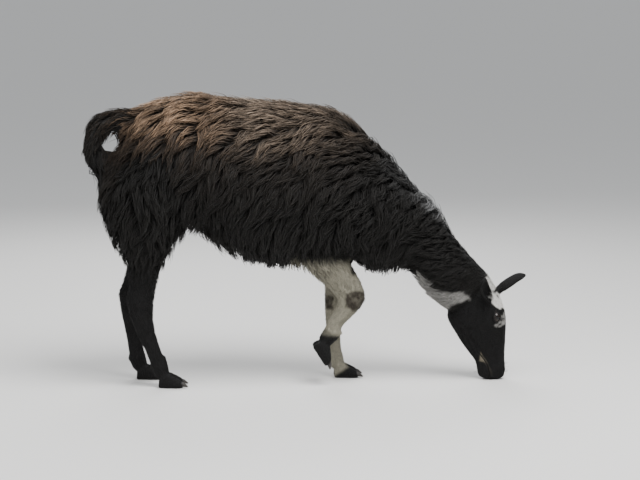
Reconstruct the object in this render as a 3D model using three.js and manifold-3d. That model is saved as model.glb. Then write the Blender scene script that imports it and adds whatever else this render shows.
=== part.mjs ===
// A grazing llama in full fleece, life size, as a still model in millimetres.
// +X is towards the head, +Y is the animal's left, +Z is up, and the floor is z = 0.
// It stands on three feet with its lips on the floor and its right foreleg lifted.
// The solids follow the outside of the coat. They are modelled whole and parted by thin cuts.
import * as THREE from "three";
import { mergeVertices } from "three/addons/utils/BufferGeometryUtils.js";
import Module from "manifold-3d";

// ---------- driving dimensions ----------
const BACK_HEIGHT = 1157; // floor to the highest wool, over the croup
const BARREL_HALF_WIDTH = 268; // middle of the trunk, over the wool
const NECK_HALF_WIDTH = 104; // just behind the head, over the wool
const BROW_HALF_WIDTH = 76; // head across the brows
const CANNON_HALF_WIDTH = 27; // leg below hock or knee
const HIND_TRACK = 84; // midline to the middle of a hind foot
const FORE_TRACK = 78; // midline to the middle of a fore foot
const FETLOCK_HEIGHT = 88; // fetlock joint above the sole
const TOE_LENGTH = 97; // heel to toe tip, without the nail
const TOE_HALF_WIDTH = 21;
const NAIL_LENGTH = 31;
const MOUTH_OPENING = 1.8; // the closed lips' slit
const EYE_RADIUS = 19;
const EYE = [744, 60, 262]; // centre of the left eye
const EAR_LENGTH = 160;
const EAR_HALF_WIDTH = 25;
const EAR_THICKNESS = 5;
const GAP = 0.4; // between neighbouring pieces
const FAR = 3000; // larger than the animal
const SIDES = { left: 1, right: -1 }; // sign of y

const wasm = await Module();
wasm.setup();

// ---------- solids from three.js geometry ----------
function solid(geometry) {
  const bare = geometry.clone();
  bare.deleteAttribute("normal");
  bare.deleteAttribute("uv");
  const merged = mergeVertices(bare, 1e-3);
  const mesh = new wasm.Mesh({
    numProp: 3,
    vertProperties: merged.attributes.position.array,
    triVerts: new Uint32Array(merged.index.array),
  });
  return new wasm.Manifold(mesh);
}

function geometryOf(shape) {
  const mesh = shape.getMesh();
  const count = mesh.vertProperties.length / mesh.numProp;
  const points = new Float32Array(count * 3);
  for (let i = 0; i < count; i++) {
    const start = i * mesh.numProp;
    points.set(mesh.vertProperties.subarray(start, start + 3), i * 3);
  }
  const geometry = new THREE.BufferGeometry();
  geometry.setAttribute("position", new THREE.BufferAttribute(points, 3));
  geometry.setIndex(new THREE.BufferAttribute(new Uint32Array(mesh.triVerts), 1));
  geometry.computeVertexNormals();
  return geometry;
}

// Joins rings of equal point counts into a closed skin that runs from one pole to the other.
function skinOver(rings, startPole, endPole) {
  const sides = rings[0].length;
  const points = [startPole, ...rings.flat(), endPole];
  const last = points.length - 1;
  const index = [];
  const at = (ring, side) => 1 + ring * sides + (side % sides);
  for (let side = 0; side < sides; side++) {
    index.push(0, at(0, side + 1), at(0, side));
    index.push(last, at(rings.length - 1, side), at(rings.length - 1, side + 1));
    for (let ring = 0; ring + 1 < rings.length; ring++) {
      const [a, b] = [at(ring, side), at(ring, side + 1)];
      const [c, d] = [at(ring + 1, side), at(ring + 1, side + 1)];
      index.push(a, b, d, a, d, c);
    }
  }
  // The rings may run either way round, and the faces have to look outwards.
  const corner = (i) => points[index[i]];
  let volume = 0;
  for (let i = 0; i < index.length; i += 3)
    volume += corner(i).clone().cross(corner(i + 1)).dot(corner(i + 2));
  if (volume < 0) index.reverse();
  const geometry = new THREE.BufferGeometry();
  const numbers = points.flatMap((p) => p.toArray());
  geometry.setAttribute("position", new THREE.Float32BufferAttribute(numbers, 3));
  geometry.setIndex(index);
  return geometry;
}

// A closed, slightly squared oval with its long axis from `low` to `high` in the XZ plane.
function ovalRing(high, low, y, wide, lean, square, sides) {
  const centre = new THREE.Vector3((high.x + low.x) / 2, y, (high.z + low.z) / 2);
  const half = new THREE.Vector3((high.x - low.x) / 2, 0, (high.z - low.z) / 2);
  const squared = (v) => Math.sign(v) * Math.abs(v) ** (2 / square);
  return Array.from({ length: sides }, (_, i) => {
    const turn = (i / sides) * 2 * Math.PI;
    const up = squared(Math.cos(turn));
    const side = squared(Math.sin(turn)) * wide * (1 - lean * up);
    return centre.clone().addScaledVector(half, up).add(new THREE.Vector3(0, side, 0));
  });
}

// Sweeps ovals through stations {high: [x, z], low: [x, z], y, wide}, with a domed end of
// length `domes[0]` before the first and `domes[1]` after the last. `lean` above 0 makes an
// oval wider at its low end. `grow` makes the whole body that much fatter, for a clearance.
function loft(stations, { sides, perSpan, domes, domeSteps = 3, lean = 0, square = 2, grow = 0 }) {
  const curve = (pick) => {
    const points = stations.map((station) => new THREE.Vector3(...pick(station)));
    return new THREE.CatmullRomCurve3(points, false, "catmullrom", 0.5);
  };
  const highs = curve((s) => [s.high[0], s.y ?? 0, s.high[1]]);
  const lows = curve((s) => [s.low[0], s.wide, s.low[1]]);
  const shapes = curve((s) => [s.lean ?? lean, s.square ?? square, 0]);
  const ringAt = (t, scale = 1, shift = new THREE.Vector3()) => {
    const high = highs.getPoint(t);
    const low = lows.getPoint(t);
    const shape = shapes.getPoint(t);
    const wide = low.y;
    const reach = Math.hypot(high.x - low.x, high.z - low.z) / 2;
    const middle = new THREE.Vector3((high.x + low.x) / 2, 0, (high.z + low.z) / 2);
    const swollen = (scale * (reach + grow)) / reach;
    const fatter = (p) => p.clone().sub(middle).setY(0).multiplyScalar(swollen).add(middle);
    const halfWidth = (wide + grow) * scale;
    const ring = ovalRing(fatter(high), fatter(low), high.y, halfWidth, shape.x, shape.y, sides);
    return ring.map((p) => p.add(shift));
  };
  const middleAt = (t) => {
    const high = highs.getPoint(t);
    const low = lows.getPoint(t);
    return new THREE.Vector3((high.x + low.x) / 2, high.y, (high.z + low.z) / 2);
  };
  const rings = [];
  const domed = (t, outward, length) => {
    const list = [];
    for (let step = 1; step < domeSteps; step++) {
      const angle = (step / domeSteps) * (Math.PI / 2);
      const shift = outward.clone().multiplyScalar((length + grow) * Math.sin(angle));
      list.push(ringAt(t, Math.cos(angle), shift));
    }
    return list;
  };
  const outStart = middleAt(0).sub(middleAt(0.02)).normalize();
  const outEnd = middleAt(1).sub(middleAt(0.98)).normalize();
  rings.push(...domed(0, outStart, domes[0]).reverse());
  const spans = (stations.length - 1) * perSpan;
  for (let i = 0; i <= spans; i++) rings.push(ringAt(i / spans));
  rings.push(...domed(1, outEnd, domes[1]));
  return skinOver(
    rings,
    middleAt(0).addScaledVector(outStart, domes[0] + grow),
    middleAt(1).addScaledVector(outEnd, domes[1] + grow),
  );
}

// Pushes the points near `at` away from `from`, as a muscle or a ridge under the skin does.
function swell(geometry, { at, radius, height, from }) {
  const position = geometry.attributes.position;
  const [target, source] = [new THREE.Vector3(...at), new THREE.Vector3(...from)];
  const direction = target.clone().sub(source).normalize();
  const point = new THREE.Vector3();
  for (let i = 0; i < position.count; i++) {
    point.fromBufferAttribute(position, i);
    const near = Math.exp(-point.distanceToSquared(target) / (radius * radius));
    point.addScaledVector(direction, near * height);
    position.setXYZ(i, point.x, point.y, point.z);
  }
  return geometry;
}

// Everything at least `past` beyond the plane through `at`, on the side `towards` points to.
function beyond(at, towards, past = 0) {
  const direction = new THREE.Vector3(...towards).normalize();
  const box = new THREE.BoxGeometry(FAR, FAR, FAR).translate(0, 0, FAR / 2 + past);
  const turn = new THREE.Quaternion().setFromUnitVectors(new THREE.Vector3(0, 0, 1), direction);
  return solid(box.applyQuaternion(turn).translate(...at));
}

// ---------- trunk and neck ----------
const W = BARREL_HALF_WIDTH;
const N = NECK_HALF_WIDTH;
// Ribs of the trunk from the rump to the chest, then of the neck down to the poll.
const torsoRibs = [
  { name: "buttocks", high: [-800, 880], low: [-788, 664], wide: 0.56 * W },
  { name: "tail head", high: [-752, 976], low: [-748, 634], wide: 0.72 * W },
  { name: "croup", high: [-640, 1106], low: [-640, 628], wide: 0.87 * W },
  { name: "hip", high: [-520, 1146], low: [-520, 636], wide: 0.93 * W },
  { name: "top of the back", high: [-405, BACK_HEIGHT], low: [-425, 622], wide: 0.95 * W },
  { name: "flank", high: [-300, 1143], low: [-308, 534], wide: 0.99 * W },
  { name: "barrel", high: [-150, 1131], low: [-165, 485], wide: W },
  { name: "girth", high: [0, 1117], low: [-20, 476], wide: 0.97 * W },
  { name: "withers", high: [118, 1090], low: [95, 482], wide: 0.91 * W },
  { name: "shoulder", high: [232, 1018], low: [190, 480], wide: 0.82 * W },
  { name: "breast", high: [330, 924], low: [276, 450], wide: 0.71 * W },
  { name: "neck base", high: [415, 802], low: [345, 462], wide: 0.58 * W },
  { name: "lower neck", high: [500, 722], low: [398, 446], wide: 1.22 * N },
  { name: "middle neck", high: [571, 619], low: [432, 394], wide: 1.1 * N },
  { name: "upper neck", high: [645, 512], low: [482, 334], wide: N },
  { name: "throat", high: [722, 424], low: [556, 276], wide: 0.82 * N },
];
const torsoOptions = { sides: 20, perSpan: 2, domes: [26, 40], domeSteps: 2, lean: 0.1, square: 2.15 };

// ---------- head ----------
const B = BROW_HALF_WIDTH;
// From the poll to the lips: `high` is on the face, `low` on the jaw.
const headRibs = [
  { name: "nape", high: [722, 424], low: [575, 300], wide: 0.92 * B, lean: 0 },
  { name: "poll", high: [754, 372], low: [556, 268], wide: 0.98 * B, lean: -0.02 },
  { name: "forehead", high: [779, 312], low: [562, 236], wide: 1.02 * B, lean: -0.06 },
  { name: "brow", high: [793, 250], low: [588, 192], wide: 0.94 * B, lean: -0.16 },
  { name: "cheek", high: [793, 186], low: [615, 148], wide: 0.74 * B, lean: -0.12 },
  { name: "nose bridge", high: [791, 128], low: [646, 106], wide: 0.57 * B, lean: -0.02 },
  { name: "mouth corner", high: [790, 82], low: [670, 74], wide: 0.5 * B, lean: 0.04, square: 2.3 },
  { name: "nostrils", high: [792, 44], low: [679, 40], wide: 0.48 * B, lean: 0, square: 2.5 },
  { name: "lips", high: [786, 14], low: [688, 12], wide: 0.4 * B, lean: 0, square: 2.4 },
];

function headShape() {
  const head = loft(headRibs, { sides: 20, perSpan: 2, domes: [20, 16], square: 2.2 });
  for (const s of Object.values(SIDES)) {
    swell(head, { at: [756, s * 62, 278], radius: 34, height: 8, from: [740, 0, 262] }); // brow ridge
    swell(head, { at: [640, s * 55, 235], radius: 52, height: 7, from: [650, 0, 235] }); // jaw muscle
    swell(head, { at: [772, s * 26, 46], radius: 20, height: 5, from: [750, 0, 46] }); // nostril wing
  }
  swell(head, { at: [690, 0, 14], radius: 22, height: 4, from: [720, 0, 40] }); // chin
  return head;
}

// The closed mouth is a thin slit from side to side, open at the lips.
function mouthSlit() {
  const corner = new THREE.Vector3(682, 112, 0);
  const middle = new THREE.Vector3(716, 62, 0);
  const front = new THREE.Vector3(728, -30, 0);
  const points = new THREE.CatmullRomCurve3([corner, middle, front]).getPoints(4);
  const edge = (way) => points.map((p) => new THREE.Vector2(p.x + (way * MOUTH_OPENING) / 2, p.y));
  const outline = new THREE.Shape([...edge(1), ...edge(-1).reverse()]);
  const slab = new THREE.ExtrudeGeometry(outline, { depth: 2 * B, bevelEnabled: false });
  return slab.translate(0, 0, -B).rotateX(Math.PI / 2);
}

// A slit-like hollow on the front of the nose, leaning inwards at its lower end.
function nostril(s) {
  const [x, y, z] = [782, 23, 38];
  const hollow = new THREE.SphereGeometry(1, 6, 5).scale(5, 4, 9);
  return hollow.rotateY(-0.35).rotateX(s * 0.3).translate(x, s * y, z);
}

function eyeball(s, grow = 0) {
  return new THREE.SphereGeometry(EYE_RADIUS + grow, 12, 8).translate(EYE[0], s * EYE[1], EYE[2]);
}

// ---------- ears ----------
// A leaf rolled into a trough about +Z that opens to +X and bends forward at the tip.
function earShape() {
  const rings = [];
  const steps = 9;
  const arcPoints = 7;
  for (let i = 0; i < steps; i++) {
    const t = Math.sin((i / steps) * (Math.PI / 2)); // closer together towards the tip
    const wide = EAR_HALF_WIDTH * (0.7 + 0.9 * t - 0.45 * t * t) * Math.sqrt(1 - t ** 4);
    const curl = THREE.MathUtils.lerp(2.5, 1.25, t); // half the trough's sweep, in radians
    const bend = 26 * t * t - 8 * t;
    const arc = (radius, way) =>
      Array.from({ length: arcPoints }, (_, k) => {
        const a = Math.PI + way * curl * ((2 * k) / (arcPoints - 1) - 1);
        const x = bend + radius * 0.8 * Math.cos(a);
        return new THREE.Vector3(x, radius * Math.sin(a), EAR_LENGTH * t);
      });
    const inner = Math.max(wide - EAR_THICKNESS, 0.45 * wide);
    rings.push([...arc(wide, 1), ...arc(inner, -1)]);
  }
  const tip = new THREE.Vector3(17, 0, EAR_LENGTH);
  const root = new THREE.Vector3(-0.4 * EAR_HALF_WIDTH, 0, -2);
  return skinOver(rings, root, tip);
}

// Stands an ear at `base` so that it points along `along` and its trough opens towards `open`.
function placedEar(base, along, open) {
  const z = new THREE.Vector3(...along).normalize();
  const y = z.clone().cross(new THREE.Vector3(...open)).normalize();
  const x = y.clone().cross(z);
  const frame = new THREE.Matrix4().makeBasis(x, y, z).setPosition(...base);
  return earShape().applyMatrix4(frame);
}

const ears = {
  // pricked forwards
  left: { base: [747, 50, 331], along: [0.8, 0.16, 0.58], open: [0.45, 0.4, -0.8] },
  // laid out and back
  right: { base: [730, -55, 314], along: [-0.42, -0.6, 0.74], open: [0.8, -0.6, -0.1] },
};

const EAR_ROOT = 44; // this much of an ear belongs to the head

function earSolid(side) {
  const { base, along, open } = ears[side];
  return solid(placedEar(base, along, open));
}

// The space past an ear's root, or with `way` -1 the space before it.
function earRoot(side, way, past = 0) {
  const { base, along } = ears[side];
  const axis = new THREE.Vector3(...along).normalize();
  const at = axis.clone().multiplyScalar(EAR_ROOT).add(new THREE.Vector3(...base));
  return beyond(at.toArray(), axis.multiplyScalar(way).toArray(), past);
}

// ---------- tail ----------
// Raised in an arch behind the croup, then hanging. `high` is its outer side.
const tailRibs = [
  { name: "root", high: [-640, 1100], low: [-668, 1000], wide: 50 },
  { name: "rise", high: [-735, 1096], low: [-722, 1006], wide: 47 },
  { name: "arch", high: [-822, 1070], low: [-768, 1003], wide: 44 },
  { name: "turn", high: [-872, 1004], low: [-785, 982], wide: 45 },
  { name: "hang", high: [-876, 938], low: [-787, 932], wide: 44 },
  { name: "brush", high: [-862, 872], low: [-800, 872], wide: 34 },
  { name: "wisp", high: [-843, 826], low: [-814, 826], wide: 16 },
];

// ---------- legs ----------
// `high` is the front of the leg and `low` the back. Every leg starts inside the trunk.
const C = CANNON_HALF_WIDTH;
const thighRibs = [
  { name: "hip", high: [-500, 965], low: [-690, 965], y: 124, wide: 64 },
  { name: "thigh", high: [-450, 860], low: [-788, 860], y: 138, wide: 112 },
  { name: "stifle", high: [-444, 720], low: [-818, 740], y: 140, wide: 118 },
  { name: "trousers", high: [-480, 612], low: [-796, 652], y: 136, wide: 104 },
  { name: "hem of the wool", high: [-532, 528], low: [-745, 560], y: 130, wide: 76 },
  { name: "gaskin", high: [-572, 462], low: [-704, 492], y: 117, wide: 54 },
];
const hindLegs = {
  right: [
    ...thighRibs,
    { name: "above the hock", high: [-588, 398], low: [-700, 410], y: 109, wide: 1.5 * C },
    { name: "hock", high: [-600, 336], low: [-713, 350], y: 103, wide: 1.5 * C },
    { name: "below the hock", high: [-604, 276], low: [-698, 282], y: 98, wide: 1.25 * C },
    { name: "upper cannon", high: [-596, 218], low: [-672, 212], y: 94, wide: 1.05 * C },
    { name: "lower cannon", high: [-578, 152], low: [-640, 150], y: 89, wide: C },
    { name: "fetlock", high: [-553, 90], low: [-616, 84], y: HIND_TRACK, wide: 1.06 * C },
  ],
  left: [
    ...thighRibs,
    { name: "above the hock", high: [-622, 400], low: [-732, 398], y: 110, wide: 1.5 * C },
    { name: "hock", high: [-640, 334], low: [-752, 340], y: 106, wide: 1.5 * C },
    { name: "below the hock", high: [-650, 276], low: [-742, 272], y: 101, wide: 1.25 * C },
    { name: "upper cannon", high: [-653, 214], low: [-728, 206], y: 96, wide: 1.05 * C },
    { name: "lower cannon", high: [-654, 150], low: [-716, 144], y: 90, wide: C },
    { name: "fetlock", high: [-646, 90], low: [-708, 84], y: HIND_TRACK, wide: 1.06 * C },
  ],
};
const foreLegs = {
  right: [
    { name: "elbow", high: [112, 640], low: [-78, 575], y: 112, wide: 72 },
    { name: "forearm", high: [142, 540], low: [-30, 470], y: 104, wide: 62 },
    { name: "lower forearm", high: [188, 452], low: [56, 404], y: 96, wide: 48 },
    { name: "above the knee", high: [216, 398], low: [96, 362], y: 90, wide: 1.5 * C },
    { name: "knee", high: [226, 338], low: [112, 338], y: 87, wide: 1.5 * C },
    { name: "below the knee", high: [188, 284], low: [104, 308], y: 84, wide: 1.3 * C },
    { name: "cannon", high: [142, 240], low: [78, 262], y: 82, wide: 1.02 * C },
    { name: "fetlock", high: [120, 196], low: [60, 212], y: FORE_TRACK, wide: 1.06 * C },
  ],
  left: [
    { name: "elbow", high: [160, 640], low: [-10, 600], y: 112, wide: 72 },
    { name: "forearm", high: [172, 530], low: [34, 505], y: 104, wide: 62 },
    { name: "lower forearm", high: [170, 440], low: [60, 432], y: 97, wide: 1.6 * C },
    { name: "above the knee", high: [160, 374], low: [70, 376], y: 92, wide: 1.4 * C },
    { name: "knee", high: [156, 318], low: [71, 324], y: 88, wide: 1.45 * C },
    { name: "below the knee", high: [144, 262], low: [72, 268], y: 85, wide: 1.15 * C },
    { name: "cannon", high: [138, 186], low: [78, 186], y: 81, wide: C },
    { name: "fetlock", high: [144, 92], low: [84, 86], y: FORE_TRACK, wide: 1.06 * C },
  ],
};

// ---------- feet ----------
// A foot's own frame has its origin at the fetlock joint, +X towards the toes and the sole at
// z = -FETLOCK_HEIGHT. Each foot has two toes with a nail each.
const SOLE = -FETLOCK_HEIGHT;
const T = TOE_HALF_WIDTH;
const TOE_SPREAD = 1.07 * T; // midline of the foot to the middle of a toe, at the heel
const TOE_SPLAY = 0.1; // radians, each toe outwards
const HEEL_X = 2; // behind this the foot ends

function toe(way) {
  const tip = HEEL_X + TOE_LENGTH;
  const ribs = [
    { high: [HEEL_X + 6, SOLE + 44], low: [HEEL_X + 2, SOLE - 6], wide: 0.86 * T },
    { high: [HEEL_X + 34, SOLE + 58], low: [HEEL_X + 30, SOLE - 6], wide: T },
    { high: [HEEL_X + 66, SOLE + 42], low: [HEEL_X + 64, SOLE - 6], wide: T },
    { high: [tip - 10, SOLE + 29], low: [tip - 10, SOLE - 5], wide: 0.78 * T },
  ];
  const made = loft(ribs, { sides: 8, perSpan: 1, domes: [8, 8], domeSteps: 2, square: 2.4 });
  return made.rotateZ(way * TOE_SPLAY).translate(0, way * TOE_SPREAD, 0);
}

function nail(way, grow = 0) {
  const root = HEEL_X + TOE_LENGTH - 16;
  const middle = root + 0.55 * NAIL_LENGTH;
  const tip = root + NAIL_LENGTH;
  const ribs = [
    { high: [root, SOLE + 28], low: [root, SOLE + 7], wide: 0.5 * T },
    { high: [middle, SOLE + 22], low: [middle, SOLE + 4], wide: 0.42 * T },
    { high: [tip, SOLE + 9], low: [tip, SOLE + 3], wide: 0.16 * T },
  ];
  const made = loft(ribs, { sides: 6, perSpan: 1, domes: [3, 2], domeSteps: 1, grow });
  return made.rotateZ(way * TOE_SPLAY).translate(0, way * TOE_SPREAD, 0);
}

function pastern() {
  const ribs = [
    { high: [27, 36], low: [-27, 34], wide: 0.9 * C },
    { high: [37, 2], low: [-37, -6], wide: 1.3 * C },
    { high: [44, SOLE + 50], low: [-16, SOLE + 40], wide: 1.2 * C },
    { high: [56, SOLE + 26], low: [10, SOLE + 16], wide: 1.24 * C },
  ];
  return loft(ribs, { sides: 8, perSpan: 1, domes: [4, 4], domeSteps: 1 });
}

// ---------- where each foot goes ----------
const feet = {
  hind_left: { joint: [-678, HIND_TRACK, FETLOCK_HEIGHT], pitch: 0 },
  hind_right: { joint: [-586, -HIND_TRACK, FETLOCK_HEIGHT], pitch: 0 },
  fore_left: { joint: [112, FORE_TRACK, FETLOCK_HEIGHT], pitch: 0 },
  fore_right: { joint: [93, -FORE_TRACK, 208], pitch: 1 }, // lifted, with the toes hanging
};
const NAILS = { inner: -1, outer: 1 };

function intoFoot(geometry, { joint, pitch }) {
  return geometry.rotateY(pitch).translate(...joint);
}

// ---------- the whole animal, then its parts ----------
const hindLegOptions = { sides: 12, perSpan: 1, domes: [30, 12], domeSteps: 2, square: 2.1 };
const foreLegOptions = { ...hindLegOptions, sides: 10, perSpan: 2 };
const tailOptions = { sides: 10, perSpan: 2, domes: [14, 10] };
const aboveFloor = beyond([0, 0, 0], [0, 0, 1]);

function legSolid(ribs, s, options) {
  const onSide = ribs.map((rib) => ({ ...rib, y: s * rib.y }));
  return solid(loft(onSide, options));
}

function footSolid(foot) {
  const pieces = [pastern(), toe(1), toe(-1)].map((g) => solid(intoFoot(g, foot)));
  return pieces.reduce((all, piece) => all.add(piece));
}

const nailSolid = (foot, way, grow) => solid(intoFoot(nail(way, grow), foot));
const tailSolid = (grow) => solid(loft(tailRibs, { ...tailOptions, grow }));

let flesh = solid(loft(torsoRibs, torsoOptions)).add(solid(headShape()));
for (const [side, s] of Object.entries(SIDES)) {
  flesh = flesh.add(legSolid(hindLegs[side], s, hindLegOptions));
  flesh = flesh.add(legSolid(foreLegs[side], s, foreLegOptions));
  flesh = flesh.add(earSolid(side).intersect(earRoot(side, -1)));
}
for (const foot of Object.values(feet)) {
  flesh = flesh.add(footSolid(foot));
  for (const way of Object.values(NAILS)) flesh = flesh.subtract(nailSolid(foot, way, GAP));
}
flesh = flesh.subtract(solid(mouthSlit()));
for (const s of Object.values(SIDES)) {
  flesh = flesh.subtract(solid(eyeball(s, GAP)));
  flesh = flesh.subtract(solid(nostril(s)));
}
flesh = flesh.intersect(aboveFloor).subtract(tailSolid(GAP));

// ---------- regions that part the flesh ----------
const OUTSIDE = 420; // past the widest point of the animal
const BELOW = -50; // under the floor
const THIGH_DEPTH = 96; // the thigh is parted from the trunk this far from the midline
const ELBOW_DEPTH = 30;

// A region seen from the side as `outline`, from y = `near` out past the animal's side.
function sideRegion(outline, near, s, grow) {
  const corners = outline.map(([x, z]) => new THREE.Vector2(x, z));
  const centre = corners.reduce((sum, p) => sum.add(p), new THREE.Vector2());
  centre.divideScalar(corners.length);
  const fatter = corners.map((p) => {
    const out = p.clone().sub(centre);
    return out.setLength(out.length() + grow).add(centre);
  });
  const depth = OUTSIDE - near + 2 * grow;
  const prism = new THREE.ExtrudeGeometry(new THREE.Shape(fatter), { depth, bevelEnabled: false });
  // the extrusion runs along -Y once it is turned upright
  prism.rotateX(Math.PI / 2);
  return solid(prism.translate(0, s > 0 ? OUTSIDE + grow : grow - near, 0));
}

const thighOutline = [
  [-440, 610],
  [-440, 720],
  [-462, 838],
  [-520, 930],
  [-610, 972],
  [-700, 940],
  [-765, 860],
  [-860, 700],
  [-860, 610],
];
const hindShankOutline = [[-440, 636], [-440, BELOW], [-860, BELOW], [-860, 700], [-600, 668]];
const foreLegOutline = [[262, BELOW], [262, 440], [196, 560], [60, 600], [-70, 540], [-90, BELOW]];

function hindLegRegion(s, grow) {
  const thigh = sideRegion(thighOutline, THIGH_DEPTH, s, grow);
  return thigh.add(sideRegion(hindShankOutline, 1, s, grow));
}

function foreLegRegion(s, grow) {
  return sideRegion(foreLegOutline, ELBOW_DEPTH, s, grow);
}

// A box round one foot, from just above its fetlock joint to below its toes.
function footRegion({ joint, pitch }, grow) {
  const [long, wide, high] = [330, 150, 330];
  const aboveJoint = 2;
  const turn = 0.62 * pitch; // square to the cannon bone above a lifted foot
  const box = new THREE.BoxGeometry(long, wide, high);
  box.translate(30, 0, aboveJoint - high / 2 + grow);
  return solid(box.rotateY(turn).translate(...joint));
}

const pollPlane = { at: [655, 0, 345], towards: [0.62, 0, -0.78] };
const shoulderPlane = { at: [380, 0, 640], towards: [0.9, 0, -0.43] };

// What is on one side of a cutting plane, clear of it by half the gap.
function past({ at, towards }, way) {
  const direction = towards.map((v) => way * v);
  return beyond(at, direction, GAP / 2);
}

// ---------- the named parts ----------
const parts = new Map();

// Cuts the region out of what is left of the flesh, and names it.
function cutOut(name, region) {
  parts.set(name, flesh.intersect(region(0)));
  flesh = flesh.subtract(region(GAP));
}

for (const [side, s] of Object.entries(SIDES)) {
  parts.set(`ear_${side}`, earSolid(side).intersect(earRoot(side, 1, GAP)));
  parts.set(`eye_${side}`, solid(eyeball(s)));
  for (const pair of ["hind", "fore"]) {
    const foot = feet[`${pair}_${side}`];
    cutOut(`${pair}_foot_${side}`, (grow) => footRegion(foot, grow));
    for (const [where, way] of Object.entries(NAILS)) {
      const whole = nailSolid(foot, way * s, 0);
      parts.set(`${pair}_nail_${side}_${where}`, whole.intersect(aboveFloor));
    }
  }
  cutOut(`hind_leg_${side}`, (grow) => hindLegRegion(s, grow));
  cutOut(`fore_leg_${side}`, (grow) => foreLegRegion(s, grow));
}
const towardsHead = flesh.intersect(past(shoulderPlane, 1));
parts.set("head", towardsHead.intersect(past(pollPlane, 1)));
parts.set("neck", towardsHead.intersect(past(pollPlane, -1)));
parts.set("trunk", flesh.intersect(past(shoulderPlane, -1)));
parts.set("tail", tailSolid(0));

// ---------- materials ----------
const coat = (colour) => new THREE.MeshStandardMaterial({ color: colour, roughness: 0.9, metalness: 0 });
const blackWool = coat(0x1d1815);
const brownWool = coat(0x33241b);
const paleHair = coat(0xb9b2a2);
const darkHair = coat(0x16120f);
const wetEye = new THREE.MeshStandardMaterial({ color: 0x0b0706, roughness: 0.08, metalness: 0 });
const horn = new THREE.MeshStandardMaterial({ color: 0x17120f, roughness: 0.45, metalness: 0 });

function materialFor(name) {
  if (name.startsWith("eye")) return wetEye;
  if (name.includes("nail")) return horn;
  if (name.startsWith("fore_leg")) return paleHair;
  if (name === "trunk") return brownWool;
  if (/^(neck|tail|hind_leg)/.test(name)) return blackWool;
  return darkHair;
}

// ---------- the scene ----------
const llama = new THREE.Group();
for (const [name, shape] of parts) {
  const mesh = new THREE.Mesh(geometryOf(shape), materialFor(name));
  mesh.name = name;
  llama.add(mesh);
}
// The origin is on the floor, under the middle of the animal's bounding box.
const middle = new THREE.Box3().setFromObject(llama).getCenter(new THREE.Vector3());
llama.position.set(-middle.x, -middle.y, 0);

export default llama;
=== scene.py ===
"""A grazing llama as a life-size still model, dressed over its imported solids.

Everything is in metres: +X is towards the head, +Y is the animal's left, the floor is z = 0.
One skin replaces the solids of flesh and lies inside them by the depth of the coat. Over it lie
the locks of wool and the tufts of short hair, each a thin closed mesh that follows the lie of
the coat. The eyes and the nails are pieces of their own.
"""
import math
from types import SimpleNamespace

import bmesh
import bpy
import numpy as np
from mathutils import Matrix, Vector
from mathutils.bvhtree import BVHTree
from mathutils.kdtree import KDTree


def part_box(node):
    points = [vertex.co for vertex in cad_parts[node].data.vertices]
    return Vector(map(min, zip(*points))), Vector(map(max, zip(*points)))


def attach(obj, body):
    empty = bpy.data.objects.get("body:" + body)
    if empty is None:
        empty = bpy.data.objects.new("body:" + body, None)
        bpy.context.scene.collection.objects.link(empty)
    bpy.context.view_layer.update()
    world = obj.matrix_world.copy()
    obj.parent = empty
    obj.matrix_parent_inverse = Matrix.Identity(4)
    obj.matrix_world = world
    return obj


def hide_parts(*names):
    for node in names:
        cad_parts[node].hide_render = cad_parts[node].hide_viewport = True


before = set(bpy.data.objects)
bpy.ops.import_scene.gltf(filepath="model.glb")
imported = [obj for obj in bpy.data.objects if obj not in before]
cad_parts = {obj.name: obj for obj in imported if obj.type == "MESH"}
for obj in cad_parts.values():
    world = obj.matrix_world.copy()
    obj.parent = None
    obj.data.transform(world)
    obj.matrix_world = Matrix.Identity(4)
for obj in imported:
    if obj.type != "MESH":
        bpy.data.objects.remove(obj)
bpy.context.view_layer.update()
rng = np.random.default_rng(11)

# ---------- camera ----------
CAMERA_AT = (-0.3499, -7.6, 1.62)
CAMERA_YAW = math.radians(3.0)  # towards the head
CAMERA_PITCH = math.radians(7.8945)  # downwards
CAMERA_LENS = 109.6  # millimetres
SENSOR_WIDTH = 36.0  # millimetres
CAMERA_SIGHT = 400.0

# ---------- the parts of the body ----------
SIDES = {"left": 1, "right": -1}

# The middle line of each part as seen from the side, as (x, z), in the direction of its hair.
LINES = {
    "trunk": [(0.38, 0.63), (0.29, 0.69), (0.2, 0.75), (0.0, 0.8), (-0.16, 0.81), (-0.41, 0.89),
              (-0.64, 0.87), (-0.8, 0.77)],
    "neck": [(0.64, 0.35), (0.56, 0.42), (0.5, 0.51), (0.45, 0.58), (0.38, 0.63)],
    "head": [(0.735, 0.0), (0.73, 0.06), (0.715, 0.12), (0.69, 0.2), (0.67, 0.27), (0.64, 0.35)],
    "tail": [(-0.655, 1.05), (-0.73, 1.05), (-0.8, 1.035), (-0.832, 0.99), (-0.835, 0.93),
             (-0.832, 0.87), (-0.83, 0.81)],
    "ear_left": [(0.745, 0.33), (0.873, 0.425)],
    "ear_right": [(0.727, 0.31), (0.66, 0.43)],
    "hind_left": [(-0.6, 0.965), (-0.63, 0.73), (-0.64, 0.48), (-0.68, 0.4), (-0.7, 0.34),
                  (-0.69, 0.21), (-0.68, 0.09), (-0.62, 0.01)],
    "hind_right": [(-0.6, 0.965), (-0.63, 0.73), (-0.64, 0.48), (-0.66, 0.34), (-0.63, 0.21),
                   (-0.585, 0.09), (-0.53, 0.01)],
    "fore_left": [(0.07, 0.62), (0.103, 0.52), (0.115, 0.43), (0.113, 0.32), (0.108, 0.2),
                  (0.114, 0.09), (0.17, 0.01)],
    "fore_right": [(0.02, 0.61), (0.056, 0.505), (0.122, 0.43), (0.169, 0.34), (0.146, 0.296),
                   (0.09, 0.204), (0.075, 0.11)],
}
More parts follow.
